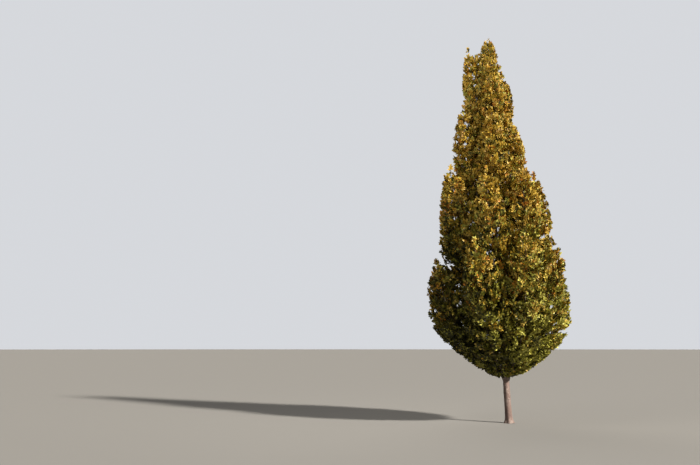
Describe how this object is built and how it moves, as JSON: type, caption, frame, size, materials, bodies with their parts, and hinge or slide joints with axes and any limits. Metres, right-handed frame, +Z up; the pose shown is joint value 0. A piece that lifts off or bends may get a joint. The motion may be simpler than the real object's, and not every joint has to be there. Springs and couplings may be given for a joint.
{
  "type": "columnar beech tree",
  "caption": "Upright, spire-shaped deciduous tree with a straight trunk, steep boughs in rings and dense flame-shaped masses of foliage in early autumn colour.",
  "frame": {"origin": "middle of the flat cut under the trunk, at ground level", "axes": "+Z up, +Y away from the picture's viewer, +X to that viewer's right; the trunk leans a little to -X"},
  "size_m": [2.9662, 3.0327, 8.7163],
  "materials": {
    "bark": "smooth pinkish grey bark, finely wrinkled",
    "leaves_low": "satin leaves, yellow-green",
    "leaves_middle": "satin leaves, olive turning gold",
    "leaves_upper": "satin leaves, golden brown",
    "leaves_top": "satin leaves, golden brown turning orange"
  },
  "bodies": {
    "root": {"trunk": "bark", "bough_low_1": "bark", "foliage_low_1": "leaves_low", "bough_low_2": "bark", "foliage_low_2": "leaves_low", "bough_low_3": "bark", "foliage_low_3": "leaves_low", "bough_low_4": "bark", "foliage_low_4": "leaves_low", "bough_low_5": "bark", "foliage_low_5": "leaves_low", "bough_low_6": "bark", "foliage_low_6": "leaves_low", "bough_low_7": "bark", "foliage_low_7": "leaves_low", "bough_low_8": "bark", "foliage_low_8": "leaves_low", "bough_middle_1": "bark", "foliage_middle_1": "leaves_middle", "bough_middle_2": "bark", "foliage_middle_2": "leaves_middle", "bough_middle_3": "bark", "foliage_middle_3": "leaves_middle", "bough_middle_4": "bark", "foliage_middle_4": "leaves_middle", "bough_middle_5": "bark", "foliage_middle_5": "leaves_middle", "bough_middle_6": "bark", "foliage_middle_6": "leaves_middle", "bough_middle_7": "bark", "foliage_middle_7": "leaves_middle", "bough_upper_1": "bark", "foliage_upper_1": "leaves_upper", "bough_upper_2": "bark", "foliage_upper_2": "leaves_upper", "bough_upper_3": "bark", "foliage_upper_3": "leaves_upper", "bough_upper_4": "bark", "foliage_upper_4": "leaves_upper", "bough_upper_5": "bark", "foliage_upper_5": "leaves_upper", "bough_top_1": "bark", "foliage_top_1": "leaves_top", "bough_top_2": "bark", "foliage_top_2": "leaves_top", "bough_top_3": "bark", "foliage_top_3": "leaves_top", "bough_top_4": "bark", "foliage_top_4": "leaves_top", "foliage_leader": "leaves_top"}
  },
  "joints": []
}
